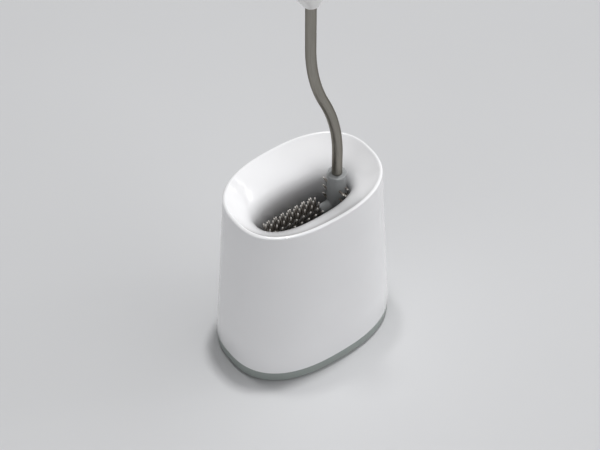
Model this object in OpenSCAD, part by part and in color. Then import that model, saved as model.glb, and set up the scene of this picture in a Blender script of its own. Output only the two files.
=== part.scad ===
// Toilet brush with its standing holder: a moulded shell with a funnel mouth lifts off a drip
// tray, and a flexible D-shaped brush on a bent steel tube stands inside it.
// The origin is the middle of the footprint on the floor. +X points to the collar end, +Z up.

/* [Holder shell] */
// Length of the shell at its foot
foot_length = 149; // [140:1:160]
// Width of the shell at its foot
foot_width = 105.4; // [98:0.2:114]
// Length of the shell at its rim
rim_length = 130.4; // [124:0.2:138]
// Width of the shell at its rim
rim_width = 89.2; // [82:0.2:96]
// Height of the rim above the floor
rim_height = 171; // [160:1:185]
// Roundness of the oval plan: 2 is an ellipse, more is squarer
plan_power = 2.45; // [2.2:0.05:2.8]
// Wall thickness of the shell
shell_wall = 2.4; // [1.8:0.1:3]
// Radius of the rolled lip
lip_radius = 1.5; // [1:0.1:1.8]
// Length of the throat at the bottom of the funnel
throat_length = 84; // [80:0.5:88]
// Width of the throat
throat_width = 36; // [34:0.5:42]
// Depth from the rim to where the funnel turns straight down
funnel_depth = 33; // [28:0.5:36]
// Length of the straight skirt under the funnel
skirt_length = 29; // [20:1:36]

/* [Drip tray] */
// Height of the visible band of the tray, with its feet
band_height = 11; // [9:0.5:14]
// How far the band is set back from the shell's face
band_setback = 1; // [0.5:0.1:2]
// Wall thickness of the tray
tray_wall = 2.2; // [1.6:0.1:3]
// Floor thickness of the tray
tray_floor = 2.4; // [2:0.1:3]
// Height of the upstand that locates the shell
upstand_height = 19; // [12:0.5:26]
// Clearance between the upstand and the shell
shell_clearance = 0.4; // [0.3:0.05:0.7]
// Gap between the shell's foot and the ledge of the tray
seat_gap = 0.3; // [0.2:0.05:0.5]
// Height of the cradle ribs above the tray's floor, at their lowest point
cradle_height = 8.5; // [6:0.5:14]
// Thickness of each cradle rib
cradle_rib = 2; // [1.6:0.1:3]
// Distance between the middles of neighbouring cradle ribs
cradle_spacing = 5; // [4:0.5:8]
// Length of the cradle ribs
cradle_length = 62; // [50:1:72]

/* [Feet] */
// Diameter of a foot pad
pad_diameter = 12; // [9:0.5:15]
// How far a foot pad stands out under the tray
pad_proud = 1.2; // [0.8:0.1:2]
// Depth of the pocket that holds a foot pad
pad_pocket = 0.9; // [0.6:0.1:1.2]
// Radial clearance of a foot pad in its pocket
pad_clearance = 0.15; // [0.1:0.05:0.3]
// Distance from the end of the shell's foot to the middle of a pad
pad_inset_x = 28.5; // [24:0.5:36]
// Distance from the side of the shell's foot to the middle of a pad
pad_inset_y = 25.7; // [22:0.1:32]

/* [Brush head] */
// Thickness of the blade
blade_thickness = 9; // [7:0.5:12]
// Least gap between the bristle tips and the throat at each end
throat_gap = 1.5; // [1.2:0.1:3]
// Corner radius at the upper end of the belly
belly_top_radius = 5; // [5:0.5:10]
// Corner radius at the lower end of the belly
belly_foot_radius = 32; // [26:1:36]
// Corner radius at the foot of the spine
spine_foot_radius = 20; // [16:1:24]
// Corner radius at the shoulder under the collar
shoulder_radius = 5; // [5:0.5:10]
// Height of the collar's top above the top edge of the blade
collar_height = 30; // [26:0.5:34]

/* [Bristles] */
// Length of the bristles in the middle row along the top edge
top_bristle_length = 11; // [9:0.25:12]
// Length of the bristles in the middle row around the other edges
side_bristle_length = 5.25; // [4.5:0.25:8]
// Length of the outermost rows, as a share of the middle row
outer_row_share = 0.78; // [0.6:0.02:1]
// Lean of the outermost rows around the edge
outer_row_lean = 31; // [10:1:40]
// Angle between the roots of the rows around the rounded edge
row_root_angle = 22; // [18:1:26]
// Length of the bristles on the faces
face_bristle_length = 7.5; // [6:0.25:9]
// Diameter at the root of a bristle
bristle_root = 1.9; // [1.4:0.1:2.4]
// Diameter at the tip of a bristle
bristle_tip = 1.2; // [0.8:0.1:1.4]
// Depth of the moulded root inside the blade
root_depth = 0.6; // [0.4:0.1:1]
// Distance between bristles along a row
bristle_pitch = 6.7; // [5.5:0.1:8]
// Distance between the rows on the faces
face_row_pitch = 6.5; // [5:0.5:8]
// Smooth length of the blade's top edge beside the collar
smooth_length = 9; // [6:0.5:14]
// Distance between the rows on the neck
neck_row_pitch = 4.6; // [4:0.1:5.2]

/* [Collar and socket] */
// Outer diameter of the collar
collar_diameter = 15.6; // [14.6:0.1:17]
// How far the collar's top lies below the holder's rim
collar_drop = 8.5; // [6:0.5:14]
// How far the collar stands proud of the blade's straight edge
collar_proud = 5.3; // [4:0.1:7]
// Straight length of the collar
collar_length = 23.5; // [19:0.5:27]
// Length of the neck that blends the collar into the blade
neck_length = 40; // [34:1:50]
// Thickness of the rubber that closes the collar around the tube
collar_lid = 3; // [2:0.25:5]
// Length of the socket insert under that lid
insert_depth = 31; // [28:1:34]
// Wall of the socket insert
insert_wall = 1.4; // [1.2:0.1:1.8]
// Clearance between the socket insert and the rubber
insert_clearance = 0.1; // [0.05:0.05:0.2]
// Thickness of the insert's floor and of its tongue
insert_floor = 3; // [2:0.25:4]
// Length of the tongue that stiffens the blade
tongue_length = 55; // [40:1:72]
// Width of the tongue
tongue_width = 10; // [8:0.5:12]
// Rubber left between the tongue and the blade's straight edge
tongue_cover = 2.5; // [2:0.25:4]

/* [Handle tube] */
// Outer diameter of the tube
tube_diameter = 8.2; // [7.8:0.1:9.4]
// Wall thickness of the tube
tube_wall = 1; // [0.8:0.1:1.5]
// Clearance around the tube where it is held
tube_clearance = 0.1; // [0.05:0.05:0.2]
// Straight length of tube above the collar, up to the first bend
lower_straight = 21.5; // [16:0.5:30]
// Bend radius on the middle line of the tube
bend_radius = 164; // [140:2:190]
// Angle of the two opposite bends
bend_angle = 22.5; // [18:0.5:24]
// Straight length between the bends
middle_straight = 3; // [2:0.5:12]
// Straight length of tube between the upper bend and the grip
upper_straight = 44; // [30:0.5:56]
// Length of the plug that closes the tube's lower end
plug_length = 16; // [10:1:22]

/* [Grip] */
// Length of the grip's body
grip_length = 90; // [80:1:110]
// Width of the grip along X
grip_width = 30; // [28:0.5:32]
// Thickness of the grip along Y
grip_thickness = 26; // [24:0.5:28]
// How far the middle of the grip is set back from the tube
grip_offset = 3.5; // [2:0.25:4.5]
// Wall thickness of the grip's body
grip_wall = 2.4; // [2:0.1:3]
// Diameter of the flat at the bottom of the grip
grip_nose = 12.4; // [11.5:0.1:14]
// Height of the flared lower end of the grip
grip_flare = 26; // [22:1:36]
// Narrowing of the grip at its top, on each side
grip_taper = 2; // [1:0.25:3]
// Height of the cap above the body
cap_height = 6; // [4:0.5:9]
// Depth of the cap's spigot inside the body
cap_spigot = 8; // [5:0.5:12]
// Depth that the tube reaches into the grip
tube_in_grip = 62; // [45:1:70]
// Wall thickness of the core that holds the tube
core_wall = 2; // [1.5:0.25:3]

/* [Hidden] */
// Points around every lofted ring
ring_points = 72;
// Radial clearance between moulded pieces that fit inside each other
fit_gap = 0.15;

// Tray levels
tray_bottom = pad_proud;
floor_top = tray_bottom + tray_floor;
shell_bottom = band_height + seat_gap;
upstand_top = band_height + upstand_height;

// Blade: its ends follow the throat, its top follows the rim and its foot the cradle
edge_radius = blade_thickness / 2;
blade_right = throat_length / 2 - throat_gap - side_bristle_length;
blade_left = -blade_right;
collar_top = rim_height - collar_drop;
blade_top = collar_top - collar_height;
cradle_top = floor_top + cradle_height;
blade_foot = cradle_top + seat_gap + side_bristle_length;

// Collar axis: the collar stands over the spine, just proud of its edge
collar_x = blade_right + collar_proud - collar_diameter / 2;
insert_top = collar_top - collar_lid;
insert_foot = insert_top - insert_depth;
neck_foot = collar_top - collar_length - neck_length;
tongue_foot = insert_foot - tongue_length;
tongue_left = blade_right - tongue_cover - tongue_width;
tube_foot = insert_foot + insert_floor;
tube_bore = tube_diameter - 2 * tube_wall;
socket_bore = tube_diameter + 2 * tube_clearance;
sleeve_diameter = socket_bore + 2 * insert_wall;
plug_flange = 1.2;
tube_start = tube_foot + tube_clearance + plug_flange;

// Corner discs of the D outline in X and Z, anticlockwise seen from -Y: [x, z, radius].
// No radius is smaller than the least one asked for.
function corner_discs(least) =
    let (r = [for (own = [shoulder_radius, belly_top_radius, belly_foot_radius, spine_foot_radius])
        max(own, least)])
    [
        [blade_right - r[0], blade_top - r[0], r[0]],
        [blade_left + r[1], blade_top - r[1], r[1]],
        [blade_left + r[2], blade_foot + r[2], r[2]],
        [blade_right - r[3], blade_foot + r[3], r[3]]
    ];
outline_discs = corner_discs(0);

// Tube levels along its bends
bend_start = collar_top + lower_straight;
bend_rise = bend_radius * sin(bend_angle);
bend_shift = bend_radius * (1 - cos(bend_angle));
upper_x = collar_x - 2 * bend_shift - middle_straight * sin(bend_angle);
bend_end = bend_start + 2 * bend_rise + middle_straight * cos(bend_angle);
grip_bottom = bend_end + upper_straight;
grip_top = grip_bottom + grip_length;
tube_top = grip_bottom + tube_in_grip;

PADS = ["foot_pad_1", "foot_pad_2", "foot_pad_3", "foot_pad_4"];

// Value between a and b at share t
function mix(a, b, t) = a + (b - a) * t;

// Point on a cubic curve through four control points
function bezier(p, t) =
    pow(1 - t, 3) * p[0] + 3 * t * pow(1 - t, 2) * p[1]
    + 3 * t * t * (1 - t) * p[2] + pow(t, 3) * p[3];

// Direction of travel on that curve
function bezier_slope(p, t) =
    3 * pow(1 - t, 2) * (p[1] - p[0]) + 6 * t * (1 - t) * (p[2] - p[1]) + 3 * t * t * (p[3] - p[2]);

// One oval ring at height z with half sizes a and b, its middle at x = cx
function oval(a, b, z, power = plan_power, cx = 0) = [
    for (i = [0 : ring_points - 1])
        let (c = cos(360 * i / ring_points), s = sin(360 * i / ring_points))
        [cx + a * sign(c) * pow(abs(c), 2 / power), b * sign(s) * pow(abs(s), 2 / power), z]
];

// Solid through a stack of rings. A looped stack returns to its first ring, with no end caps.
module loft(rings, looped = false) {
    n = len(rings[0]);
    m = len(rings);
    sides = [
        for (k = [0 : looped ? m - 1 : m - 2], i = [0 : n - 1])
            let (a = k * n + i, b = k * n + (i + 1) % n)
            let (c = ((k + 1) % m) * n + i, d = ((k + 1) % m) * n + (i + 1) % n)
            each [[a, d, b], [a, c, d]]
    ];
    caps = looped ? [] : [[for (i = [0 : n - 1]) i], [for (i = [n - 1 : -1 : 0]) (m - 1) * n + i]];
    polyhedron(points = [for (r = rings) each r], faces = concat(sides, caps));
}

// Half length and half width of the shell's outer face at height z
function face_share(z) = (z - shell_bottom) / (rim_height - shell_bottom);
function face_a(z) = mix(foot_length, rim_length, face_share(z)) / 2;
function face_b(z) = mix(foot_width, rim_width, face_share(z)) / 2;
function face_ring(inset, z) = oval(face_a(z) - inset, face_b(z) - inset, z);

// Turn of the rolled lip at which the funnel takes over from it
lip_turn = 138;
function lip_inset(turn) = lip_radius * (1 - cos(turn));
function lip_height(turn) = rim_height - lip_radius * (1 - sin(turn));

// Funnel section: half length, half width and height, from the lip to the skirt
funnel_start = [
    face_a(rim_height) - lip_inset(lip_turn), face_b(rim_height) - lip_inset(lip_turn),
    lip_height(lip_turn)
];
funnel_end = [throat_length / 2, throat_width / 2, rim_height - funnel_depth];
funnel_curve = [
    funnel_start,
    [for (i = [0 : 1]) mix(funnel_start[i], funnel_end[i], 0.48), rim_height - 0.38 * funnel_depth],
    [funnel_end[0], funnel_end[1], rim_height - 0.40 * funnel_depth],
    funnel_end
];
function funnel_point(t) = bezier(funnel_curve, t);
// The same point moved through the wall to the hidden side
function funnel_under(t) =
    let (p = funnel_point(t), d = bezier_slope(funnel_curve, t))
    let (run = norm([d[1], d[2]]))
    p + shell_wall * [-d[2] / run, -d[2] / run, d[1] / run];

module outer_shell() {
    lip_steps = 5;
    funnel_steps = 12;
    under_from = 0.3;
    skirt_bottom = rim_height - funnel_depth - skirt_length;
    foot_edge = 0.4;
    outside = [
        face_ring(foot_edge, shell_bottom),
        for (k = [0 : 3]) face_ring(0, mix(shell_bottom + foot_edge, rim_height - lip_radius, k / 3))
    ];
    lip = [
        for (k = [1 : lip_steps])
            let (turn = lip_turn * k / (lip_steps + 1))
            face_ring(lip_inset(turn), lip_height(turn))
    ];
    funnel = [
        for (k = [0 : funnel_steps]) let (p = funnel_point(k / funnel_steps)) oval(p[0], p[1], p[2])
    ];
    skirt = [
        oval(throat_length / 2, throat_width / 2, skirt_bottom),
        oval(throat_length / 2 + shell_wall, throat_width / 2 + shell_wall, skirt_bottom)
    ];
    under = [
        for (k = [funnel_steps : -1 : 0])
            let (p = funnel_under(mix(under_from, 1, k / funnel_steps)))
            oval(p[0], p[1], p[2])
    ];
    join_z = min(under[len(under) - 1][0][2] + 0.4, rim_height - 3 * lip_radius);
    inside = [
        for (k = [2 : -1 : 0])
            face_ring(shell_wall, mix(shell_bottom + foot_edge, join_z, k / 2)),
        face_ring(shell_wall - foot_edge, shell_bottom)
    ];
    color("white")
        loft(concat(outside, lip, funnel, skirt, under, inside), looped = true);
}

// Half sizes of the tray's band and of its upstand
function band_ring(inset, z) = face_ring(band_setback + inset, z);
function upstand_ring(inset, z) = face_ring(shell_wall + shell_clearance + inset, z);

module tray_body() {
    edge = 0.8;
    lead_in = 1;
    loft([
        band_ring(edge, tray_bottom),
        band_ring(0, tray_bottom + edge),
        band_ring(0, band_height - edge / 2),
        band_ring(edge / 2, band_height),
        upstand_ring(0, band_height),
        upstand_ring(0, upstand_top - lead_in),
        upstand_ring(lead_in / 2, upstand_top),
        upstand_ring(tray_wall, upstand_top),
        upstand_ring(tray_wall, band_height),
        upstand_ring(tray_wall + edge, floor_top + 2 * edge),
        upstand_ring(tray_wall + 3 * edge, floor_top)
    ]);
}

// Outline of the room that the head needs above the cradle, in X and Z
module head_room() {
    margin = side_bristle_length + seat_gap;
    belly = outline_discs[2];
    spine = outline_discs[3];
    translate([belly[0], belly[1]]) circle(belly[2] + margin, $fn = 96);
    translate([spine[0], spine[1]]) circle(spine[2] + margin, $fn = 96);
    translate([belly[0], blade_foot - margin]) square([spine[0] - belly[0], belly[2]]);
}

// Three ribs shaped to the foot of the head, which they carry clear of the drips
module cradle() {
    sunk = tray_floor / 2;
    middle = (outline_discs[2][0] + outline_discs[3][0]) / 2;
    for (side = [-1 : 1])
        translate([0, side * cradle_spacing + cradle_rib / 2, 0])
            rotate([90, 0, 0])
                linear_extrude(cradle_rib)
                    difference() {
                        translate([middle - cradle_length / 2, floor_top - sunk])
                            square([cradle_length, cradle_height * 2 + sunk]);
                        head_room();
                    }
}

function pad_place(i) = [
    (i % 2 - 0.5) * (foot_length - 2 * pad_inset_x),
    (floor(i / 2) - 0.5) * (foot_width - 2 * pad_inset_y),
    0
];

module base_tray() {
    color("darkseagreen")
        difference() {
            union() {
                tray_body();
                cradle();
            }
            for (i = [0 : 3])
                translate(pad_place(i))
                    cylinder(h = tray_bottom + pad_pocket, d = pad_diameter + 2 * pad_clearance, $fn = 48);
        }
}

module foot_pad(i) {
    bevel = 0.4;
    color("dimgray")
        translate(pad_place(i)) {
            cylinder(h = bevel, d1 = pad_diameter - 2 * bevel, d2 = pad_diameter, $fn = 48);
            translate([0, 0, bevel])
                cylinder(h = pad_proud + pad_pocket - bevel, d = pad_diameter, $fn = 48);
        }
}

// Disc with a fully rounded rim, lying in the plane of the blade
module rounded_disc(disc) {
    translate([disc[0], 0, disc[1]])
        rotate([90, 0, 0])
            rotate_extrude($fn = 60)
                intersection() {
                    translate([disc[2] - edge_radius, 0]) circle(edge_radius, $fn = 20);
                    translate([0, -edge_radius]) square([disc[2], blade_thickness]);
                }
}

module blade() {
    hull()
        for (disc = outline_discs) rounded_disc(disc);
}

// Neck that blends the collar into the spine of the blade
neck_foot_x = blade_right - edge_radius;
module neck() {
    hull() {
        translate([collar_x, 0, collar_top - collar_length])
            cylinder(h = 1, d = collar_diameter, $fn = 48);
        translate([neck_foot_x, 0, neck_foot]) sphere(d = blade_thickness, $fn = 24);
    }
}

module brush_head() {
    lip = 0.5;
    color([0.33, 0.34, 0.36])
        difference() {
            union() {
                blade();
                neck();
                translate([collar_x, 0, collar_top - collar_length + 0.5])
                    cylinder(h = collar_length - 0.5 - lip, d = collar_diameter, $fn = 64);
                translate([collar_x, 0, collar_top - lip])
                    cylinder(h = lip, d1 = collar_diameter, d2 = collar_diameter - lip, $fn = 64);
            }
            translate([collar_x, 0, insert_foot])
                cylinder(h = collar_top, d = socket_bore, $fn = 64);
            translate([collar_x, 0, insert_foot])
                cylinder(h = insert_depth, d = sleeve_diameter + 2 * insert_clearance, $fn = 64);
            translate([
                tongue_left - insert_clearance,
                -insert_floor / 2 - insert_clearance,
                tongue_foot - insert_clearance
            ])
                cube([
                    tongue_width + 2 * insert_clearance,
                    insert_floor + 2 * insert_clearance,
                    tongue_length + 1
                ]);
        }
}

// Facing angle of the straight edge from one corner disc to the next
function edge_facing(a, b) =
    let (apart = norm([b[0] - a[0], b[1] - a[1]]))
    atan2(b[1] - a[1], b[0] - a[0]) - acos((a[2] - b[2]) / apart);
function heading(angle) = [cos(angle), sin(angle)];
function positive(angle) = angle < 0 ? positive(angle + 360) : angle;

// Places on a belt that follows the outline at an inset, corner by corner: [x, z, facing angle].
// The share shifts every other row by half a pitch.
function belt_places(inset, share) =
    let (discs = corner_discs(inset))
    let (facings = [for (i = [0 : 3]) edge_facing(discs[i], discs[(i + 1) % 4])])
    [
        for (i = [0 : 3])
            let (a = discs[i], b = discs[(i + 1) % 4], facing = facings[i])
            let (before = facings[(i + 3) % 4], sweep = positive(facing - before))
            let (reach = a[2] - inset)
            let (arc_count = reach > 0 ? max(1, round(reach * sweep * PI / 180 / bristle_pitch)) : 0)
            let (p = [a[0], a[1]] + reach * heading(facing))
            let (q = [b[0], b[1]] + (b[2] - inset) * heading(facing))
            let (line_count = max(1, round(norm(q - p) / bristle_pitch)))
            each concat(
                [for (k = [0 : 1 : arc_count - 1])
                    let (w = before + sweep * (k + share) / arc_count)
                    [a[0] + reach * cos(w), a[1] + reach * sin(w), w]],
                [for (k = [0 : line_count - 1])
                    let (c = p + (q - p) * (k + share) / line_count)
                    [c[0], c[1], facing]]
            )
    ];

// The neck under the collar stays smooth on the blade's faces and on its top edge
smooth_left = collar_x - collar_diameter / 2 - smooth_length;
function on_rim(p) = p[0] < smooth_left || p[1] < neck_foot + neck_length / 3;
function on_face(p) = p[0] < smooth_left - edge_radius || p[1] < neck_foot;

module bristle(root, aim, length) {
    translate(root - root_depth * aim)
        rotate([0, acos(aim[2]), atan2(aim[1], aim[0])])
            cylinder(h = length + root_depth, d1 = bristle_root, d2 = bristle_tip, $fn = 16);
}

// Direction in the plane of the blade at an angle, turned out of that plane by a lean
function fanned(angle, lean) = [cos(angle) * cos(lean), sin(lean), sin(angle) * cos(lean)];

// Staggered rows around the rounded edge, the outer rows shorter and leaning outwards.
// All the bristles of the top edge stand upright and end level, those on its corner too.
outer_row = 3;
module rim_bristles() {
    color([0.25, 0.24, 0.23])
        for (row = [-outer_row : outer_row])
            let (share = pow(abs(row) / outer_row, 1.5))
            let (lean = sign(row) * outer_row_lean * share, length_share = mix(1, outer_row_share, share))
            for (p = belt_places(edge_radius, row % 2 == 0 ? 0 : 0.5))
                if (on_rim(p))
                    let (root = [p[0], 0, p[1]] + edge_radius * fanned(p[2], row * row_root_angle))
                    let (top = root[2] > outline_discs[1][1])
                    let (sunk = edge_radius * cos(row * row_root_angle) * (1 - sin(p[2])))
                    bristle(
                        root,
                        fanned(top ? 90 : p[2], lean),
                        length_share * (top ? top_bristle_length + sunk : side_bristle_length)
                    );
}

// Staggered rows on one face, inside the rounded edge
face_rows = 3;
module face_bristles(side) {
    first_inset = edge_radius + face_row_pitch / 2;
    color([0.25, 0.24, 0.23])
        for (row = [0 : face_rows - 1])
            for (p = belt_places(first_inset + row * face_row_pitch, row % 2 == 0 ? 0 : 0.5))
                if (on_face(p))
                    bristle([p[0], side * edge_radius, p[1]], [0, side, 0], face_bristle_length);
}

module front_bristles() { face_bristles(-1); }
module back_bristles() { face_bristles(1); }

// Two combs on the collar and its neck, one towards each face of the blade. Each place is a
// turn around the collar and a height above the collar's foot, where the neck narrows below it.
neck_places = concat(
    [for (k = [0 : 5]) [k % 2 == 0 ? 116 : 100, (1.75 - k) * neck_row_pitch]],
    [for (k = [0 : 3]) [k % 2 == 0 ? -108 : -84, (2 - k) * neck_row_pitch]],
    [for (k = [0 : 1]) [-60, (1.9 - 1.5 * k) * neck_row_pitch]]
);
// Half width of the throat at a distance from its middle
function throat_half(x) = let (share = pow(abs(2 * x / throat_length), plan_power))
    throat_width / 2 * pow(1 - share, 1 / plan_power);
module neck_bristles() {
    color([0.25, 0.24, 0.23])
        for (place = neck_places)
            let (turn = place[0], height = place[1], narrowed = max(-height, 0) / neck_length)
            let (radius = mix(collar_diameter / 2, edge_radius, narrowed))
            let (x = mix(collar_x, neck_foot_x, narrowed) + radius * cos(turn), y = radius * sin(turn))
            bristle(
                [x, y, collar_top - collar_length + height],
                [0, sign(y), 0],
                min(face_bristle_length, throat_half(x) - abs(y) - bristle_tip)
            );
}

// Rigid insert: a socket for the tube on a tongue that stiffens the rubber blade
module socket_insert() {
    color("gray") {
        difference() {
            translate([collar_x, 0, insert_foot + insert_clearance])
                cylinder(h = insert_depth - 2 * insert_clearance, d = sleeve_diameter, $fn = 64);
            translate([collar_x, 0, tube_foot])
                cylinder(h = insert_depth, d = socket_bore, $fn = 64);
        }
        translate([tongue_left, -insert_floor / 2, tongue_foot])
            cube([tongue_width, insert_floor, tongue_length + 0.5]);
    }
}

// Plug that keeps water out of the tube: its flange lies under the tube's cut end
module tube_plug() {
    color("dimgray")
        translate([collar_x, 0, tube_foot + tube_clearance]) {
            cylinder(h = plug_flange, d = tube_diameter, $fn = 48);
            cylinder(h = plug_length, d = tube_bore - 2 * tube_clearance, $fn = 48);
        }
}

// Stations along the middle line of the tube, from its foot to its top: [x, z, lean towards -X]
bend_steps = 9;
tube_stations = concat(
    [[collar_x, tube_start, 0]],
    [for (k = [0 : bend_steps])
        let (w = bend_angle * k / bend_steps)
        [collar_x - bend_radius * (1 - cos(w)), bend_start + bend_radius * sin(w), w]],
    [for (k = [bend_steps : -1 : 0])
        let (w = bend_angle * k / bend_steps)
        [upper_x + bend_radius * (1 - cos(w)), bend_end - bend_radius * sin(w), w]],
    [[upper_x, tube_top, 0]]
);

// Ring square to the middle line at one station
tube_points = 36;
function tube_ring(station, d) = [
    for (i = [0 : tube_points - 1])
        let (c = d / 2 * cos(360 * i / tube_points), s = d / 2 * sin(360 * i / tube_points))
        [station[0] + c * cos(station[2]), s, station[1] + c * sin(station[2])]
];

module handle_tube() {
    last = len(tube_stations) - 1;
    color("silver")
        loft(concat(
            [for (k = [0 : last]) tube_ring(tube_stations[k], tube_diameter)],
            [for (k = [last : -1 : 0]) tube_ring(tube_stations[k], tube_bore)]
        ), looped = true);
}

// Half sizes and middle of the grip at a height above its bottom
function grip_swell(h) = h < grip_flare ? sin(90 * h / grip_flare) : 1;
function grip_narrow(h) = grip_taper * pow(max(h - grip_flare, 0) / (grip_length - grip_flare), 2);
function grip_ring(h, inset) =
    let (s = grip_swell(h), nose = grip_nose / 2)
    oval(
        mix(nose, grip_width / 2, s) - grip_narrow(h) - inset,
        mix(nose, grip_thickness / 2, s) - grip_narrow(h) - inset,
        grip_bottom + h, 2.1, upper_x - grip_offset * s * s
    );

// Heights for the grip's rings, closer together where the dome turns
function grip_heights(from, to, steps) = [
    for (k = [0 : steps]) from + (to - from) * pow(k / steps, 1.6)
];

// Floor of the grip's hollow, and the core that stands on it
hollow_from = 12;
core_flange = 2;
core_bore = tube_diameter + 2 * tube_clearance;
core_diameter = core_bore + 2 * core_wall;
core_foot = grip_bottom + hollow_from + seat_gap / 2;
fin_reach = mix(grip_nose, grip_thickness, grip_swell(hollow_from)) / 2 - grip_wall - fit_gap;

module grip_body() {
    color("whitesmoke")
        difference() {
            loft([for (h = grip_heights(0, grip_length, 18)) grip_ring(h, 0)]);
            loft([for (h = grip_heights(hollow_from, grip_length + 1, 12)) grip_ring(h, grip_wall)]);
            translate([upper_x, 0, grip_bottom - 1])
                cylinder(h = hollow_from + 2, d = core_bore, $fn = 64);
        }
}

// Core that is pressed on the tube, with a flange and two fins that centre it in the grip
module grip_core() {
    color("lightgray")
        translate([upper_x, 0, core_foot])
            difference() {
                union() {
                    cylinder(h = core_flange, d = core_diameter + 1, $fn = 64);
                    cylinder(h = tube_top - core_foot + core_wall, d = core_diameter, $fn = 64);
                    translate([-core_flange / 2, -fin_reach, 0])
                        cube([core_flange, 2 * fin_reach, tube_top - core_foot]);
                }
                translate([0, 0, -1])
                    cylinder(h = tube_top - core_foot + 1 + tube_clearance, d = core_bore, $fn = 64);
            }
}

module grip_cap() {
    steps = 7;
    color("whitesmoke") {
        loft([
            for (k = [0 : steps])
                let (w = 88 * k / steps)
                oval(
                    (grip_width / 2 - grip_taper) * cos(w), (grip_thickness / 2 - grip_taper) * cos(w),
                    grip_top + fit_gap + cap_height * sin(w), 2.1, upper_x - grip_offset
                )
        ]);
        loft([
            for (h = [grip_length - cap_spigot, grip_length + fit_gap + 0.5])
                grip_ring(h, grip_wall + 2 * fit_gap)
        ]);
    }
}

outer_shell();
base_tray();
for (i = [0 : 3])
    foot_pad(i);
brush_head();
rim_bristles();
front_bristles();
back_bristles();
neck_bristles();
socket_insert();
tube_plug();
handle_tube();
grip_core();
grip_body();
grip_cap();
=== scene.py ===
import math

import bmesh
import bpy
from mathutils import Matrix, Vector
from mathutils.kdtree import KDTree


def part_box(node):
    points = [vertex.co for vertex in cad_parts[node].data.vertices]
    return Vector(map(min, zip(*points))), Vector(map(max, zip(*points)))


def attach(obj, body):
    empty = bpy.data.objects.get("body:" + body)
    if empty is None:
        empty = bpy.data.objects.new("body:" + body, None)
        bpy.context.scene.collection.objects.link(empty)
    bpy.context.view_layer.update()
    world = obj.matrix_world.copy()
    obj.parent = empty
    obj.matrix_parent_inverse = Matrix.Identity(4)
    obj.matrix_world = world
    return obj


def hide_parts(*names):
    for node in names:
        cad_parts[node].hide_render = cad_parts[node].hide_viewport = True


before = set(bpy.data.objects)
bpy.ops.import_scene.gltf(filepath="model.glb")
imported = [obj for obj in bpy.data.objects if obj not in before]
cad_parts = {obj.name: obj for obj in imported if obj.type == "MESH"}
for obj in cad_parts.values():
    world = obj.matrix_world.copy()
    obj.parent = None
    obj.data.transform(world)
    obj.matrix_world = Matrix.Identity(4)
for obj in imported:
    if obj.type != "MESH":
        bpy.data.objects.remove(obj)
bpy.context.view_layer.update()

# Camera. It stands well back and looks down into the mouth of the holder through a long lens,
# so that the funnel, the bristles in the throat and the lower end of the grip all show.
camera = bpy.data.objects.new("camera", bpy.data.cameras.new("camera"))
camera.data.lens = 117
camera.data.sensor_width = 36
camera.location = (-0.5863, -0.8059, 1.2966)
camera.rotation_euler = Vector((0.3793, 0.5239, -0.7627)).to_track_quat("-Z", "Y").to_euler()
bpy.context.scene.collection.objects.link(camera)
bpy.context.scene.camera = camera
bpy.context.scene.view_settings.view_transform = "Standard"

# Studio. A pale matt floor, and faint light from all round that brightens softly to both sides.
# Two overhead lamps draw the short shadows, and two windows the streaks on the glossy funnel.
FLOOR_GREY = (0.635, 0.64, 0.65)
FLOOR_DARKEST = 0.96
FLOOR_SIZE = 12
BELLY, MOUTH = (0, 0, 0.1), (0, 0, 0.16)
WORLD_GREY = (0.99, 0.99, 1.0)
WORLD_LEVEL = 0.145
SOFT_SIDES = [  # direction, cosine at which it fades out, extra level
    ((0.87, -0.49, 0.05), 0.3, 1.4), ((-0.935, -0.345, 0.08), 0.72, 1.25),
]


def add(tree, kind, inputs=None, **settings):
    """Adds a shader node, sets its properties, and fills or links its inputs."""
    made = tree.nodes.new(kind)
    for name, value in settings.items():
        setattr(made, name, value)
    for socket, value in (inputs or {}).items():
        if isinstance(value, bpy.types.NodeSocket):
            tree.links.new(value, made.inputs[socket])
        else:
            made.inputs[socket].default_value = value
    return made


def blank_material(name):
    """A material with only its output, and that output's surface socket."""
    material = bpy.data.materials.new(name)
    material.use_nodes = True
    material.node_tree.nodes.clear()
    output = material.node_tree.nodes.new("ShaderNodeOutputMaterial")
    return material, material.node_tree, output.inputs["Surface"]


def soft_lamp(name, place, aim, size, power):
    """A rectangular white lamp at a place, turned to face the aim."""
    lamp = bpy.data.objects.new(name, bpy.data.lights.new(name, "AREA"))
    lamp.data.shape = "RECTANGLE"
    lamp.data.size, lamp.data.size_y = size
    lamp.data.energy = power
    lamp.location = place
    lamp.rotation_euler = (Vector(aim) - Vector(place)).to_track_quat("-Z", "Y").to_euler()
    bpy.context.scene.collection.objects.link(lamp)


floor_matt, tree, surface = blank_material("floor_matt")
spot = add(tree, "ShaderNodeTexCoord").outputs["Object"]
cloud = add(tree, "ShaderNodeTexNoise", {"Vector": spot, "Scale": 5.0, "Detail": 4.0})
tint = add(tree, "ShaderNodeMixRGB", {
    "Fac": cloud.outputs["Fac"], "Color1": (*(FLOOR_DARKEST * c for c in FLOOR_GREY), 1),
    "Color2": (*FLOOR_GREY, 1),
})
matt = add(tree, "ShaderNodeBsdfPrincipled", {"Base Color": tint.outputs[0], "Roughness": 0.6})
tree.links.new(matt.outputs[0], surface)

bm = bmesh.new()
bmesh.ops.create_grid(bm, x_segments=1, y_segments=1, size=FLOOR_SIZE)
floor = bpy.data.objects.new("floor", bpy.data.meshes.new("floor"))
bm.to_mesh(floor.data)
bm.free()
floor.data.materials.append(floor_matt)
bpy.context.scene.collection.objects.link(floor)

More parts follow.
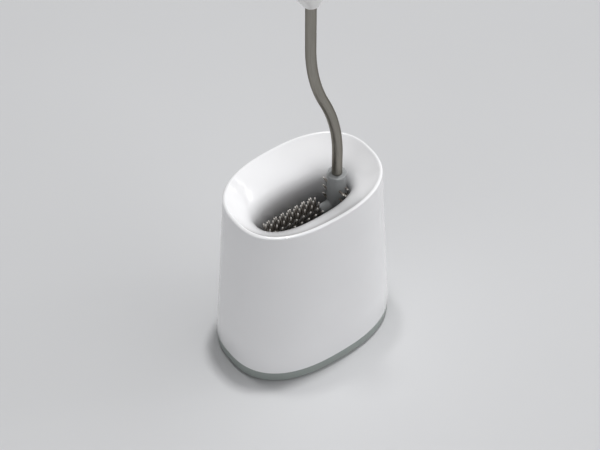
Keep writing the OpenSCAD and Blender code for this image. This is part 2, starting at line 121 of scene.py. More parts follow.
world = bpy.data.worlds.new("studio")
world.use_nodes = True
bpy.context.scene.world = world
tree = world.node_tree
background = tree.nodes["Background"]
background.inputs["Color"].default_value = (*WORLD_GREY, 1)
towards = add(tree, "ShaderNodeTexCoord").outputs["Generated"]
level = WORLD_LEVEL
for side, fade, extra in SOFT_SIDES:
    facing = add(tree, "ShaderNodeVectorMath", {0: towards, 1: side}, operation="DOT_PRODUCT")
    lobe = add(tree, "ShaderNodeMapRange", {
        "Value": facing.outputs["Value"], "From Min": fade, "From Max": 1.0, "To Max": extra,
    }, interpolation_type="SMOOTHSTEP")
    level = add(tree, "ShaderNodeMath", {0: lobe.outputs[0], 1: level}).outputs[0]
tree.links.new(level, background.inputs["Strength"])

soft_lamp("overhead_right", (0.22, 0.06, 2.2), BELLY, size=(0.12, 0.12), power=20.6)
soft_lamp("overhead_back", (-0.03, 0.30, 2.2), BELLY, size=(0.12, 0.12), power=7.4)
soft_lamp("window_narrow", (1.54, -0.44, 0.72), MOUTH, size=(0.06, 0.40), power=0.35)
soft_lamp("window_wide", (1.43, -0.73, 1.02), MOUTH, size=(0.22, 0.55), power=1.35)

# Drip tray. One moulding in satin grey-green plastic: a shallow oval dish whose band shows under
# the shell, an upstand that locates the shell, and three ribs that carry the brush head.
MM = 0.001
PLAN_POWER = 2.45  # of the oval's outline, where 2 is a plain ellipse
ROUND_POWER = 2
RIM_HALF = (65.2 * MM, 44.6 * MM)
BAND_HEIGHT = 11 * MM
BAND_SETBACK = 1 * MM
TRAY_WALL = 2.2 * MM
TRAY_FLOOR = 2.4 * MM
BAND_EDGE = 0.8 * MM
UPSTAND_INSET = 2.8 * MM
UPSTAND_EDGE = 0.35 * MM
UPSTAND_FOOT = 1 * MM
PAD_POCKET = 0.9 * MM
PAD_CLEARANCE = 0.15 * MM
RIB_WIDTH = 2 * MM
RIB_SPACING = 5 * MM
RIB_LENGTH = 62 * MM
RIB_HEIGHT = 17 * MM
HEAD_ROOM = 5.55 * MM  # between the blade's edge and the ribs, for the bristles there
CUT_PAST = 1 * MM  # how far a cut runs on past the face that it opens
BLADE_CORNERS = (20 * MM, 5 * MM, 5 * MM, 32 * MM)
TRAY_DARK, TRAY_LIGHT = (0.27, 0.30, 0.285), (0.31, 0.345, 0.33)
FOOT_PADS = [f"foot_pad_{number}" for number in range(1, 5)]

shell_low, shell_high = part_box("outer_shell")
tray_low, tray_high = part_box("base_tray")
head_low, head_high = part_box("brush_head")
blade_left, blade_right, blade_foot = head_low.x, -head_low.x, head_low.z
floor_top = tray_low.z + TRAY_FLOOR


def mix(a, b, share):
    """The value at a share of the way from a to b."""
    return a + (b - a) * share


def face(z, inset=0.0):
    """Half length, half width and height of the shell's outer face, moved inwards by an inset."""
    share = (z - shell_low.z) / (shell_high.z - shell_low.z)
    foot_half = (shell_high.x, shell_high.y)
    return (*(mix(foot_half[i], RIM_HALF[i], share) - inset for i in (0, 1)), z)


def verts_of(grown):
    """The vertices among the geometry that an operator made."""
    return [g for g in grown["geom"] if isinstance(g, bmesh.types.BMVert)]


def first_ring(bm, ring, segments=240, power=PLAN_POWER):
    """Starts a moulding with an oval ring: half length, half width, height and middle in X."""
    verts = bmesh.ops.create_circle(bm, segments=segments, radius=1)["verts"]
    for v in verts:
        for i in (0, 1):
            v.co[i] = math.copysign(abs(v.co[i]) ** (2 / power), v.co[i])
    bmesh.ops.scale(bm, verts=verts, vec=(ring[0], ring[1], 1))
    bmesh.ops.translate(bm, verts=verts, vec=(ring[3] if len(ring) > 3 else 0, 0, ring[2]))
    return list(dict.fromkeys(e for v in verts for e in v.link_edges))


def loft(bm, edges, rings):
    """Draws the wall on from ring to ring, and gives the last ring. The edges are the first."""
    for now, then in zip(rings, rings[1:]):
        grown = bmesh.ops.extrude_edge_only(bm, edges=edges)
        edges = [g for g in grown["geom"] if isinstance(g, bmesh.types.BMEdge)]
        now_x, then_x = (ring[3] if len(ring) > 3 else 0 for ring in (now, then))
        bmesh.ops.scale(bm, verts=verts_of(grown), vec=(then[0] / now[0], then[1] / now[1], 1),
                        space=Matrix.Translation((-now_x, 0, 0)))
        bmesh.ops.translate(bm, verts=verts_of(grown), vec=(then_x - now_x, 0, then[2] - now[2]))
    return edges


def round_edges(bm, sharper, radius, segments, chosen=lambda e: True):
    """Rounds the chosen edges that turn by more than an angle in degrees."""
    bmesh.ops.recalc_face_normals(bm, faces=bm.faces)
    sharp = [e for e in bm.edges if len(e.link_faces) == 2 and chosen(e)
             and e.calc_face_angle() > math.radians(sharper)]
    bmesh.ops.bevel(bm, geom=sharp, affect="EDGES", offset=radius, segments=segments, profile=0.5,
                    material=-1, clamp_overlap=True)


def plate_outline(bm, low, high, radii, y):
    """A flat plate in X and Z. Its corners are rounded by radii at low right, high right, high
    left and low left."""
    corners = [(high[0], low[1]), (high[0], high[1]), (low[0], high[1]), (low[0], low[1])]
    verts = [bm.verts.new((x, y, z)) for x, z in corners]
    bm.faces.new(verts)
    for v, radius in zip(verts, radii):
        bmesh.ops.bevel(bm, geom=[v], affect="VERTICES", offset=radius, segments=24, profile=0.5,
                        material=-1)
    return bm.faces[:]


def cylinder(bm, x, y, low, high, radius):
    """A closed upright cylinder."""
    bmesh.ops.create_cone(bm, cap_ends=True, segments=64, radius1=radius, radius2=radius,
                          depth=high - low, matrix=Matrix.Translation((x, y, (low + high) / 2)))


def block(bm, low, high):
    """A closed box between two corners."""
    low, high = Vector(low), Vector(high)
    bmesh.ops.create_cube(bm, size=1, matrix=Matrix.Translation((low + high) / 2)
                          @ Matrix.Diagonal((*(high - low), 1)))


def new_piece(bm, name):
    """Turns a bmesh into an object with its faces outwards."""
    bmesh.ops.recalc_face_normals(bm, faces=bm.faces)
    piece = bpy.data.objects.new(name, bpy.data.meshes.new(name))
    bm.to_mesh(piece.data)
    bm.free()
    bpy.context.scene.collection.objects.link(piece)
    return piece


def settle(piece):
    """Applies a piece's modifiers to its mesh."""
    depsgraph = bpy.context.evaluated_depsgraph_get()
    mesh = bpy.data.meshes.new_from_object(piece.evaluated_get(depsgraph))
    piece.modifiers.clear()
    piece.data = mesh


def carve(piece, bm):
    """Cuts the shape in a bmesh out of a piece."""
    cutter = new_piece(bm, "cutter")
    cut = piece.modifiers.new("cut", "BOOLEAN")
    cut.object = cutter
    cut.operation = "DIFFERENCE"
    cut.solver = "EXACT"
    settle(piece)
    bpy.data.objects.remove(cutter)


def dress(piece, material, body, nodes, crease=35):
    """Gives a piece its material and body, and hides the CAD nodes that it stands for. Its shading
    is smooth, apart from edges that turn by more than the crease angle."""
    bm = bmesh.new()
    bm.from_mesh(piece.data)
    for f in bm.faces:
        f.smooth = True
    for e in bm.edges:
        e.smooth = len(e.link_faces) == 2 and e.calc_face_angle() < math.radians(crease)
    bm.to_mesh(piece.data)
    bm.free()
    piece.data.materials.clear()
    piece.data.materials.append(material)
    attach(piece, body)
    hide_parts(*nodes)


# The fine grain and the broad mottling that every moulded plastic or rubber face here has.
moulded_skin = bpy.data.node_groups.new("moulded_skin", "ShaderNodeTree")
for label in ("Grain Size", "Grain Depth"):
    moulded_skin.interface.new_socket(label, in_out="INPUT", socket_type="NodeSocketFloat")
for label, kind in (("Mottle", "NodeSocketFloat"), ("Normal", "NodeSocketVector")):
    moulded_skin.interface.new_socket(label, in_out="OUTPUT", socket_type=kind)
given = add(moulded_skin, "NodeGroupInput")
spot = add(moulded_skin, "ShaderNodeTexCoord").outputs["Object"]
density = add(moulded_skin, "ShaderNodeMath", {0: 1.0, 1: given.outputs["Grain Size"]},
              operation="DIVIDE")
grain = add(moulded_skin, "ShaderNodeTexNoise",
            {"Vector": spot, "Scale": density.outputs[0], "Detail": 2.0})
mottle = add(moulded_skin, "ShaderNodeTexNoise", {"Vector": spot, "Scale": 28.0, "Detail": 3.0})
relief = add(moulded_skin, "ShaderNodeBump", {
    "Height": grain.outputs["Fac"], "Distance": given.outputs["Grain Depth"], "Strength": 1.0,
})
add(moulded_skin, "NodeGroupOutput", {"Mottle": mottle.outputs["Fac"], "Normal": relief.outputs[0]})


def moulded_material(name, dark, light, rough, grain_size, grain_depth, coat=0.0):
    """Plastic or rubber: a colour that drifts a little, and a skin of a given grain."""
    material, tree, surface = blank_material(name)
    skin = add(tree, "ShaderNodeGroup", {"Grain Size": grain_size, "Grain Depth": grain_depth},
               node_tree=moulded_skin)
    colour = add(tree, "ShaderNodeMixRGB", {
        "Fac": skin.outputs["Mottle"], "Color1": (*dark, 1), "Color2": (*light, 1),
    })
    polish = add(tree, "ShaderNodeMapRange", {
        "Value": skin.outputs["Mottle"], "From Min": 0.3, "From Max": 0.7,
        "To Min": rough[0], "To Max": rough[1],
    })
    shader = add(tree, "ShaderNodeBsdfPrincipled", {
        "Base Color": colour.outputs[0], "Roughness": polish.outputs[0],
        "Normal": skin.outputs["Normal"], "Coat Weight": coat, "Coat Roughness": 0.03,
    })
    tree.links.new(shader.outputs[0], surface)
    return material


tray_plastic = moulded_material("tray_satin", TRAY_DARK, TRAY_LIGHT, rough=(0.38, 0.48),
                                grain_size=0.5 * MM, grain_depth=0.012 * MM)

profile = [
    face(tray_low.z, BAND_SETBACK), face(BAND_HEIGHT, BAND_SETBACK),
    face(BAND_HEIGHT, UPSTAND_INSET), face(tray_high.z, UPSTAND_INSET),
    face(tray_high.z, UPSTAND_INSET + TRAY_WALL),
    face(floor_top, UPSTAND_INSET + TRAY_WALL + UPSTAND_FOOT),
]
bm = bmesh.new()
edges = first_ring(bm, profile[0])
bmesh.ops.contextual_create(bm, geom=edges)
bmesh.ops.contextual_create(bm, geom=loft(bm, edges, profile))
round_edges(bm, sharper=40, radius=BAND_EDGE, segments=4,
            chosen=lambda e: e.verts[0].co.z < BAND_HEIGHT - BAND_EDGE)
round_edges(bm, sharper=40, radius=UPSTAND_EDGE, segments=3,
            chosen=lambda e: e.verts[0].co.z > BAND_HEIGHT - UPSTAND_EDGE)
tray = new_piece(bm, "drip_tray")

bm = bmesh.new()
for pad in FOOT_PADS:
    pad_low, pad_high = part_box(pad)
    middle = (pad_low + pad_high) / 2
    cylinder(bm, middle.x, middle.y, tray_low.z - CUT_PAST, tray_low.z + PAD_POCKET,
             (pad_high.x - pad_low.x) / 2 + PAD_CLEARANCE)
carve(tray, bm)

rib_middle = (blade_left + BLADE_CORNERS[3] + blade_right - BLADE_CORNERS[0]) / 2
bm = bmesh.new()
for side in (-1, 0, 1):
    block(bm, (rib_middle - RIB_LENGTH / 2, side * RIB_SPACING - RIB_WIDTH / 2,
               floor_top - TRAY_FLOOR / 2),
          (rib_middle + RIB_LENGTH / 2, side * RIB_SPACING + RIB_WIDTH / 2,
           floor_top + RIB_HEIGHT))
ribs = new_piece(bm, "ribs")
bm = bmesh.new()
plate = plate_outline(bm, (blade_left - HEAD_ROOM, blade_foot - HEAD_ROOM),
                      (blade_right + HEAD_ROOM, shell_high.z),
                      [radius + HEAD_ROOM for radius in BLADE_CORNERS], -2 * RIB_SPACING)
grown = bmesh.ops.extrude_face_region(bm, geom=plate)
bmesh.ops.translate(bm, verts=verts_of(grown), vec=(0, 4 * RIB_SPACING, 0))
carve(ribs, bm)

bm = bmesh.new()
bm.from_mesh(tray.data)
bm.from_mesh(ribs.data)
bm.to_mesh(tray.data)
bm.free()
bpy.data.objects.remove(ribs)
dress(tray, tray_plastic, "base", ["base_tray"])

# Feet. Four small pucks of matt dark rubber, pushed into round pockets under the tray so that
# the holder doesn't slip on a wet floor.
PAD_DARK, PAD_LIGHT = (0.018, 0.018, 0.018), (0.03, 0.03, 0.03)


def redress(nodes, material):
    """Gives CAD nodes that stay as they are a finished material."""
    for node in nodes:
        for material_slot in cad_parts[node].material_slots:
            material_slot.material = material


redress(FOOT_PADS, moulded_material("foot_rubber", PAD_DARK, PAD_LIGHT, rough=(0.7, 0.85),
                                    grain_size=0.3 * MM, grain_depth=0.02 * MM))

# Shell. A glossy white injection moulding: a slightly tapered oval wall, a rolled lip, a funnel
# that guides the brush, and a straight skirt below its throat. It sits on the tray's ledge.
SHELL_WALL = 2.4 * MM
OUTER_STEPS, INNER_STEPS = 6, 4
LIP_RADIUS = 1.5 * MM
LIP_TURN = math.radians(138)
LIP_STEPS = 14
THROAT_HALF = (42 * MM, 18 * MM)
FUNNEL_DEPTH = 33 * MM
FUNNEL_STEPS = 40
SHOULDER_INWARDS, SHOULDER_DROP, THROAT_DROP = 0.48, 0.38, 0.40  # shares of the way in and down
UNDER_FROM = 0.3  # share of the funnel's way down at which its under side meets the wall
UNDER_RISE = 0.4 * MM
SKIRT_EDGE = 0.5 * MM
SKIRT_LENGTH = 29 * MM
SHELL_DARK, SHELL_LIGHT = (0.835, 0.835, 0.845), (0.865, 0.865, 0.875)

rim_z, foot_z = shell_high.z, shell_low.z


def lip(turn):
    """The rolled lip at an angle of its roll, measured from the outer face."""
    return face(rim_z - LIP_RADIUS * (1 - math.sin(turn)), LIP_RADIUS * (1 - math.cos(turn)))


funnel_top, throat_z = lip(LIP_TURN), rim_z - FUNNEL_DEPTH
funnel_curve = [
    Vector(funnel_top),
    Vector((*(mix(funnel_top[i], THROAT_HALF[i], SHOULDER_INWARDS) for i in (0, 1)),
            rim_z - SHOULDER_DROP * FUNNEL_DEPTH)),
    Vector((*THROAT_HALF, rim_z - THROAT_DROP * FUNNEL_DEPTH)),
    Vector((*THROAT_HALF, throat_z)),
]


def funnel(share, depth=0.0):
    """The funnel at a share of its way down, moved into its wall by a depth."""
    a, b, c, d = funnel_curve
    rest = 1 - share
    point = rest ** 3 * a + 3 * share * rest ** 2 * b + 3 * share ** 2 * rest * c + share ** 3 * d
    slope = rest ** 2 * (b - a) + 2 * share * rest * (c - b) + share ** 2 * (d - c)
    run = math.hypot(slope.y, slope.z)
    inwards = Vector((-slope.z, -slope.z, slope.y)) / run
    return tuple(point + depth * inwards)


shell_white = moulded_material("shell_gloss_white", SHELL_DARK, SHELL_LIGHT, rough=(0.16, 0.24),
                               grain_size=1.2 * MM, grain_depth=0.002 * MM, coat=0.5)

wall_top = funnel(UNDER_FROM, SHELL_WALL)[2] + UNDER_RISE
skirt_z = throat_z - SKIRT_LENGTH
profile = [face(mix(foot_z, rim_z - LIP_RADIUS, k / OUTER_STEPS)) for k in range(OUTER_STEPS + 1)]
profile += [lip(LIP_TURN * k / LIP_STEPS) for k in range(1, LIP_STEPS)]
profile += [funnel(k / FUNNEL_STEPS) for k in range(FUNNEL_STEPS + 1)]
profile += [(*THROAT_HALF, skirt_z), (*(half + SHELL_WALL for half in THROAT_HALF), skirt_z)]
profile += [funnel(mix(1, UNDER_FROM, k / FUNNEL_STEPS), SHELL_WALL)
            for k in range(FUNNEL_STEPS + 1)]
profile += [face(mix(wall_top, foot_z, k / INNER_STEPS), SHELL_WALL)
            for k in range(INNER_STEPS + 1)]
bm = bmesh.new()
start = first_ring(bm, profile[0])
bmesh.ops.bridge_loops(bm, edges=start + loft(bm, start, profile))
round_edges(bm, sharper=60, radius=SKIRT_EDGE, segments=4)
dress(new_piece(bm, "shell"), shell_white, "shell", ["outer_shell"], crease=50)

# Brush head. A D-shaped blade of flexible grey rubber with a fully rounded edge, moulded in one
# piece with the neck and the collar that grip the handle's socket insert. Between the crowded
# bristles of its edge its colour darkens with painted shade, standing in for their shadow.
EDGE_RADIUS = 4.5 * MM
EDGE_STEPS = 10
COLLAR_RADIUS = 7.8 * MM
COLLAR_HEIGHT = 30 * MM
COLLAR_LENGTH = 23.5 * MM
COLLAR_LID = 3 * MM
LID_EDGE = 0.7 * MM
LID_MIDWAY = 0.3  # share of the lid's edge at which its middle ring lies
NECK_LENGTH = 40 * MM
NECK_STEPS = 12
NECK_INSET = 0.3 * MM
MELT_SIZE = 0.5 * MM
SAME_PLACE = 0.001 * MM
RING_TOLERANCE = 0.01 * MM
INSERT_CLEARANCE = 0.1 * MM
SLEEVE_RADIUS = 5.6 * MM
SOCKET_RADIUS = 4.2 * MM
TONGUE_WIDTH = 10 * MM
TONGUE_THICKNESS = 3 * MM
TONGUE_LENGTH = 55 * MM
HEAD_DARK, HEAD_LIGHT = (0.29, 0.30, 0.302), (0.34, 0.35, 0.352)
# Painted shade: near black, standing in for the shade deep between the crowded edge bristles.
PAINTED_BED_SHADE = (0.035, 0.032, 0.03)
PAINTED_SHADE_EDGE = (1.8 * MM, 3.8 * MM)  # from an edge bristle's root: full shade, no shade

collar_x, collar_top = head_high.x - COLLAR_RADIUS, head_high.z
collar_foot, blade_top = collar_top - COLLAR_LENGTH, collar_top - COLLAR_HEIGHT
insert_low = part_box("socket_insert")[0]
tongue_left, tongue_foot = insert_low.x, insert_low.z
sleeve_foot = tongue_foot + TONGUE_LENGTH

bm = bmesh.new()
plate = plate_outline(bm, (blade_left, blade_foot), (blade_right, blade_top), BLADE_CORNERS, 0)
for k in range(EDGE_STEPS):
    now, then = (math.pi / 2 * step / EDGE_STEPS for step in (k, k + 1))
    bmesh.ops.inset_region(bm, faces=plate, use_even_offset=True, use_boundary=True,
                           thickness=EDGE_RADIUS * (math.cos(now) - math.cos(then)),
                           depth=EDGE_RADIUS * (math.sin(then) - math.sin(now)))
bmesh.ops.mirror(bm, geom=bm.verts[:] + bm.edges[:] + bm.faces[:], axis="Y",
                 merge_dist=SAME_PLACE)

neck = [
    (COLLAR_RADIUS - LID_EDGE, COLLAR_RADIUS - LID_EDGE, collar_top, collar_x),
    (COLLAR_RADIUS - LID_MIDWAY * LID_EDGE, COLLAR_RADIUS - LID_MIDWAY * LID_EDGE,
     collar_top - LID_MIDWAY * LID_EDGE, collar_x),
    (COLLAR_RADIUS, COLLAR_RADIUS, collar_top - LID_EDGE, collar_x),
    (COLLAR_RADIUS, COLLAR_RADIUS, collar_foot, collar_x),
]
for k in range(1, NECK_STEPS + 1):
    down = k / NECK_STEPS
    ease = down ** 2 * (3 - 2 * down)
    neck.append((mix(COLLAR_RADIUS, EDGE_RADIUS, ease),
                 mix(COLLAR_RADIUS, EDGE_RADIUS - NECK_INSET, ease),
                 collar_foot - NECK_LENGTH * down,
                 mix(collar_x, blade_right - EDGE_RADIUS - NECK_INSET, ease)))
edges = first_ring(bm, neck[0], segments=96, power=ROUND_POWER)
bmesh.ops.contextual_create(bm, geom=edges)
bmesh.ops.contextual_create(bm, geom=loft(bm, edges, neck))
head = new_piece(bm, "brush_head_rubber")
melt = head.modifiers.new("melt", "REMESH")
melt.mode = "VOXEL"
melt.voxel_size = MELT_SIZE
relax = head.modifiers.new("relax", "SMOOTH")
relax.factor = 0.5
relax.iterations = 12
settle(head)

bm = bmesh.new()
cylinder(bm, collar_x, 0, sleeve_foot, collar_top - COLLAR_LID, SLEEVE_RADIUS + INSERT_CLEARANCE)
carve(head, bm)
bm = bmesh.new()
cylinder(bm, collar_x, 0, collar_top - 2 * COLLAR_LID, collar_top + COLLAR_LID, SOCKET_RADIUS)
carve(head, bm)
bm = bmesh.new()
gap = INSERT_CLEARANCE
block(bm, (tongue_left - gap, -TONGUE_THICKNESS / 2 - gap, tongue_foot - gap),
      (tongue_left + TONGUE_WIDTH + gap, TONGUE_THICKNESS / 2 + gap, sleeve_foot + CUT_PAST))
carve(head, bm)


def far_ring(points, start):
    """The middle of the points that lie farthest from a start."""
    reach = max((co - start).length for co in points)
    ring = [co for co in points if (co - start).length > reach - RING_TOLERANCE]
    return sum(ring, Vector()) / len(ring)


def stands(node):
    """The root and the tip of every bristle in a CAD bristle node."""
    merged = bmesh.new()
    merged.from_mesh(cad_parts[node].data)
    bmesh.ops.remove_doubles(merged, verts=merged.verts, dist=SAME_PLACE)
    found, seen = [], set()
    for first in merged.verts:
        if first in seen:
            continue
        island, queue = [], [first]
        seen.add(first)
        while queue:
            v = queue.pop()
            island.append(v.co)
            for e in v.link_edges:
                other = e.other_vert(v)
                if other not in seen:
                    seen.add(other)
                    queue.append(other)
        root = far_ring(island, sum(island, Vector()) / len(island))
        found.append((root, far_ring(island, root)))
    merged.free()
    return found


# Each vertex of the head keeps its distance from the nearest edge bristle's root; near the roots
# its colour turns to painted shade.
edge_roots = [root for root, tip in stands("rim_bristles")]
crowd = KDTree(len(edge_roots))
for number, root in enumerate(edge_roots):
    crowd.insert(root, number)
crowd.balance()
distances = head.data.attributes.new("bed_shade_distance", "FLOAT", "POINT")
for v, distance in zip(head.data.vertices, distances.data):
    distance.value = crowd.find(v.co)[2]

head_rubber = moulded_material("head_rubber", HEAD_DARK, HEAD_LIGHT, rough=(0.36, 0.46),
                               grain_size=0.6 * MM, grain_depth=0.02 * MM)
tree = head_rubber.node_tree
shader = tree.nodes["Principled BSDF"]
# Painted shade: the rubber's colour darkens towards near black close to the edge bristles' roots.
bed_shade_distance = add(tree, "ShaderNodeAttribute", attribute_name="bed_shade_distance")
smooth = add(tree, "ShaderNodeMapRange", {
    "Value": bed_shade_distance.outputs["Fac"], "From Min": PAINTED_SHADE_EDGE[0], "From Max": PAINTED_SHADE_EDGE[1],
})
bed_shade_mix = add(tree, "ShaderNodeMixRGB", {
    "Fac": smooth.outputs[0], "Color1": (*PAINTED_BED_SHADE, 1),
    "Color2": shader.inputs["Base Color"].links[0].from_socket,
})
tree.links.new(bed_shade_mix.outputs[0], shader.inputs["Base Color"])
dress(head, head_rubber, "brush", ["brush_head"])

# Bristles. Flexible nubs moulded on the head in staggered rows: a fan around its edge, rows on
# both faces and two combs on the neck. Each is tapered, with a rounded tip. Their colour runs from
# dark stems to pale tips, partly the rubber's own and partly painted shade low down and a painted
# highlight at the tip. On the blade's upper edge the outer rows are the shortest.
BRISTLE_SIDES = 8
BRISTLE_PROFILE = [  # radius in mm, share of the length
    (1.2, -0.02), (1.0, 0.05), (0.92, 0.14), (0.8, 0.5), (0.7, 0.88), (0.66, 0.95),
    (0.45, 0.985), (0.16, 1.0),
]
ROOT_DEPTH = 0.6 * MM
TIP_FROM = 0.6  # share of the length at which the lighter tip begins
# The stems' colour is partly the rubber's own dark and partly painted shade; the tips' is partly
# their own paler tone and partly a painted highlight of the light from above.
STEM_DARK_AND_SHADED, TIP_PALE_AND_LIT = (0.14, 0.122, 0.105), (0.82, 0.79, 0.74)


def bristles(name, node, material):
    """Stands a bristle on every root of a CAD bristle node, in its place."""
    bm = bmesh.new()
    reach = bm.verts.layers.float.new("reach")
    rings = [(radius * MM, radius * MM, share) for radius, share in BRISTLE_PROFILE]
    edges = first_ring(bm, rings[0], segments=BRISTLE_SIDES, power=ROUND_POWER)
    bmesh.ops.contextual_create(bm, geom=loft(bm, edges, rings))
    for v in bm.verts:
        v[reach] = v.co.z
    pattern_verts = bm.verts[:]
    pattern = pattern_verts + bm.edges[:] + bm.faces[:]
    for root, tip in stands(node):
        axis = tip - root
        root += axis.normalized() * ROOT_DEPTH
        copy = bmesh.ops.duplicate(bm, geom=pattern)
        stand = Matrix.Translation(root) @ axis.to_track_quat("Z", "Y").to_matrix().to_4x4()
        bmesh.ops.transform(bm, matrix=stand @ Matrix.Diagonal((1, 1, (tip - root).length, 1)),
                            verts=verts_of(copy))
    bmesh.ops.delete(bm, geom=pattern_verts, context="VERTS")
    dress(new_piece(bm, name), material, "brush", [node], crease=60)


bristle_rubber, tree, surface = blank_material("bristle_rubber")
skin = add(tree, "ShaderNodeGroup", {"Grain Size": 0.4 * MM, "Grain Depth": 0.01 * MM},
           node_tree=moulded_skin)
reach = add(tree, "ShaderNodeAttribute", attribute_name="reach")
fade = add(tree, "ShaderNodeMapRange", {
    "Value": reach.outputs["Fac"], "From Min": TIP_FROM, "From Max": 1.0,
})
# Painted light: from the stem's painted shade up to the tip's painted highlight, along the bristle.
colour = add(tree, "ShaderNodeMixRGB", {
    "Fac": fade.outputs[0], "Color1": (*STEM_DARK_AND_SHADED, 1), "Color2": (*TIP_PALE_AND_LIT, 1),
})
polish = add(tree, "ShaderNodeMapRange", {
    "Value": skin.outputs["Mottle"], "From Min": 0.3, "From Max": 0.7,
    "To Min": 0.3, "To Max": 0.42,
})
shader = add(tree, "ShaderNodeBsdfPrincipled", {
    "Base Color": colour.outputs[0], "Roughness": polish.outputs[0],
    "Normal": skin.outputs["Normal"],
})
tree.links.new(shader.outputs[0], surface)
bristles("edge_bristles", "rim_bristles", bristle_rubber)
bristles("front_face_bristles", "front_bristles", bristle_rubber)
bristles("back_face_bristles", "back_bristles", bristle_rubber)
bristles("neck_combs", "neck_bristles", bristle_rubber)

# Socket insert and tube plug. Rigid dark plastic mouldings inside the rubber: the socket and
# its tongue stiffen the blade, and the plug keeps water out of the tube's cut end.
INSERT_DARK, INSERT_LIGHT = (0.03, 0.03, 0.032), (0.045, 0.045, 0.048)
redress(["socket_insert", "tube_plug"],
        moulded_material("insert_plastic", INSERT_DARK, INSERT_LIGHT, rough=(0.4, 0.5),
                         grain_size=0.4 * MM, grain_depth=0.01 * MM))

# Handle tube. Thin stainless steel tube, brushed along its length and bent twice, so that the
# grip stands close to the middle of the holder while the tube enters the collar upright.
TUBE_WALL = 1 * MM
LOWER_STRAIGHT = 21.5 * MM
MIDDLE_STRAIGHT = 3 * MM
BEND_RADIUS = 164 * MM
BEND_ANGLE = math.radians(22.5)
BEND_STEPS = 28
STEEL_DARK, STEEL_LIGHT = (0.23, 0.22, 0.195), (0.42, 0.40, 0.36)
STEEL_RIM = (0.3, 0.29, 0.27)

tube_low, tube_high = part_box("handle_tube")
tube_radius = tube_high.y
upper_x = tube_low.x + tube_radius
bend_start = collar_top + LOWER_STRAIGHT
bend_end = (bend_start + 2 * BEND_RADIUS * math.sin(BEND_ANGLE)
            + MIDDLE_STRAIGHT * math.cos(BEND_ANGLE))

bm = bmesh.new()
brushed = bm.verts.layers.float_vector.new("brushed")
ring = (tube_radius, tube_radius, tube_low.z, collar_x)
edges = first_ring(bm, ring, segments=64, power=ROUND_POWER)
for v in bm.verts:
    v[brushed] = (v.co.x - collar_x, v.co.y, 0)


def stretch(bm, edges, length, lean):
    """Draws the tube straight on, leaning towards -X, and gives its new end."""
    grown = bmesh.ops.extrude_edge_only(bm, edges=edges)
    bmesh.ops.translate(bm, verts=verts_of(grown),
                        vec=(-length * math.sin(lean), 0, length * math.cos(lean)))
    for v in verts_of(grown):
        v[brushed] += Vector((0, 0, length))
    return [g for g in grown["geom"] if isinstance(g, bmesh.types.BMEdge)]


def bend(bm, edges, centre, turn):
    """Draws the tube round a bend about a line across it, step by step, and gives its new end."""
    for step in range(BEND_STEPS):
        grown = bmesh.ops.extrude_edge_only(bm, edges=edges)
        bmesh.ops.rotate(bm, verts=verts_of(grown), cent=centre,
                         matrix=Matrix.Rotation(turn / BEND_STEPS, 3, "Y"))
        for v in verts_of(grown):
            v[brushed] += Vector((0, 0, BEND_RADIUS * abs(turn) / BEND_STEPS))
        edges = [g for g in grown["geom"] if isinstance(g, bmesh.types.BMEdge)]
    return edges


edges = stretch(bm, edges, bend_start - tube_low.z, 0)
edges = bend(bm, edges, (collar_x - BEND_RADIUS, 0, bend_start), -BEND_ANGLE)
edges = stretch(bm, edges, MIDDLE_STRAIGHT, BEND_ANGLE)
edges = bend(bm, edges, (upper_x + BEND_RADIUS, 0, bend_end), BEND_ANGLE)
edges = stretch(bm, edges, tube_high.z - bend_end, 0)
bmesh.ops.recalc_face_normals(bm, faces=bm.faces)
bmesh.ops.solidify(bm, geom=bm.faces[:], thickness=TUBE_WALL)
tube = new_piece(bm, "handle_tube_steel")

tube_steel, tree, surface = blank_material("brushed_steel")
drawn = add(tree, "ShaderNodeAttribute", attribute_name="brushed").outputs["Vector"]
along = add(tree, "ShaderNodeMapping", {"Vector": drawn, "Scale": (1.0, 1.0, 0.012)})
hairline = add(tree, "ShaderNodeTexNoise", {
    "Vector": along.outputs[0], "Scale": 3200.0, "Detail": 3.0,
})
smear = add(tree, "ShaderNodeTexNoise", {"Vector": drawn, "Scale": 60.0, "Detail": 2.0})
colour = add(tree, "ShaderNodeMixRGB", {
    "Fac": hairline.outputs["Fac"], "Color1": (*STEEL_DARK, 1), "Color2": (*STEEL_LIGHT, 1),
})
polish = add(tree, "ShaderNodeMapRange", {
    "Value": smear.outputs["Fac"], "From Min": 0.3, "From Max": 0.7, "To Min": 0.3, "To Max": 0.4,
})
relief = add(tree, "ShaderNodeBump", {
    "Height": hairline.outputs["Fac"], "Distance": 0.01 * MM, "Strength": 1.0,
})
shader = add(tree, "ShaderNodeBsdfPrincipled", {
    "Base Color": colour.outputs[0], "Metallic": 1.0, "Roughness": polish.outputs[0],
    "Specular Tint": (*STEEL_RIM, 1), "Normal": relief.outputs[0],
})
tree.links.new(shader.outputs[0], surface)
dress(tube, tube_steel, "brush", ["handle_tube"], crease=50)

# Grip. A white moulded handle with a flared lower end that closes round the tube, a domed cap
# that plugs its top, and inside it a finned core that is pressed on the tube.
GRIP_HALF = (15 * MM, 13 * MM)
GRIP_POWER = 2.1
GRIP_NOSE = 6.2 * MM
GRIP_FLARE = 26 * MM
GRIP_TAPER = 2 * MM
GRIP_OFFSET = 3.5 * MM
GRIP_WALL = 2.4 * MM
GRIP_HOLE = 4.2 * MM
HOLLOW_FROM = 12 * MM
CAP_GAP = 0.15 * MM
CAP_SPIGOT = 8 * MM
CAP_STEPS = 16
GRIP_STEPS = 44
GRIP_CROWDING = 1.6  # crowds the rings towards the lower end, where the flare is
GRIP_EDGE = 0.4 * MM
GRIP_DARK, GRIP_LIGHT = (0.78, 0.775, 0.765), (0.83, 0.825, 0.815)
CORE_DARK, CORE_LIGHT = (0.5, 0.5, 0.5), (0.58, 0.58, 0.58)

grip_low, grip_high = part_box("grip_body")
cap_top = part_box("grip_cap")[1].z
grip_length = grip_high.z - grip_low.z


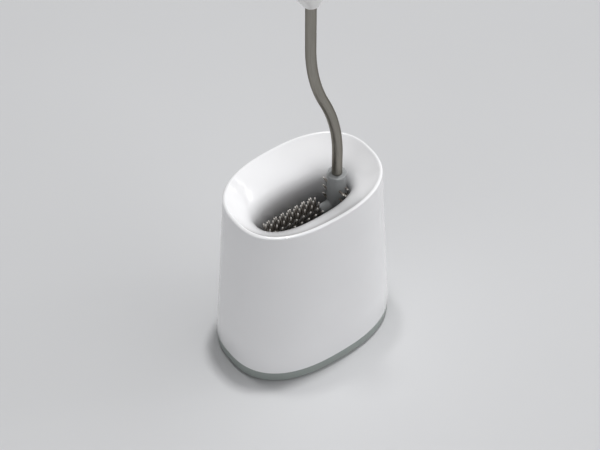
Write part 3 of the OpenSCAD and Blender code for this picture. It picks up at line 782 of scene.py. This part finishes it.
def grip_ring(height, inset=0.0):
    """The grip's section at a height above its lower end: it flares out and tapers in again."""
    swell = math.sin(math.pi / 2 * min(height / GRIP_FLARE, 1))
    past = max(height - GRIP_FLARE, 0) / (grip_length - GRIP_FLARE)
    narrow = GRIP_TAPER * past ** 2 + inset
    return (mix(GRIP_NOSE, GRIP_HALF[0], swell) - narrow,
            mix(GRIP_NOSE, GRIP_HALF[1], swell) - narrow,
            grip_low.z + height, upper_x - GRIP_OFFSET * swell ** 2)


grip_white = moulded_material("grip_satin_white", GRIP_DARK, GRIP_LIGHT, rough=(0.3, 0.38),
                              grain_size=0.6 * MM, grain_depth=0.008 * MM)
profile = [(GRIP_HOLE, GRIP_HOLE, grip_low.z, upper_x)]
profile += [grip_ring(grip_length * (k / GRIP_STEPS) ** GRIP_CROWDING)
            for k in range(GRIP_STEPS + 1)]
profile += [grip_ring(mix(grip_length, HOLLOW_FROM, k / GRIP_STEPS), GRIP_WALL)
            for k in range(GRIP_STEPS + 1)]
profile.append((GRIP_HOLE, GRIP_HOLE, grip_low.z + HOLLOW_FROM, upper_x))
bm = bmesh.new()
start = first_ring(bm, profile[0], segments=96, power=GRIP_POWER)
bmesh.ops.bridge_loops(bm, edges=start + loft(bm, start, profile))
round_edges(bm, sharper=50, radius=GRIP_EDGE, segments=4)
dress(new_piece(bm, "grip_shell"), grip_white, "brush", ["grip_body"], crease=50)

rim = grip_ring(grip_length)
cap_foot = grip_high.z + CAP_GAP
spigot = [grip_ring(height, GRIP_WALL + 2 * CAP_GAP)
          for height in (grip_length - CAP_SPIGOT, grip_length)]
profile = [*spigot, (*spigot[1][:2], cap_foot, rim[3])]
for k in range(CAP_STEPS):
    turn = math.pi / 2 * k / CAP_STEPS
    profile.append((rim[0] * math.cos(turn), rim[1] * math.cos(turn),
                    cap_foot + (cap_top - cap_foot) * math.sin(turn), rim[3]))
bm = bmesh.new()
edges = first_ring(bm, profile[0], segments=96, power=GRIP_POWER)
bmesh.ops.contextual_create(bm, geom=edges)
bmesh.ops.contextual_create(bm, geom=loft(bm, edges, profile))
round_edges(bm, sharper=50, radius=GRIP_EDGE, segments=4)
dress(new_piece(bm, "grip_end_cap"), grip_white, "brush", ["grip_cap"], crease=50)

redress(["grip_core"],
        moulded_material("core_plastic", CORE_DARK, CORE_LIGHT, rough=(0.4, 0.5),
                         grain_size=0.5 * MM, grain_depth=0.01 * MM))
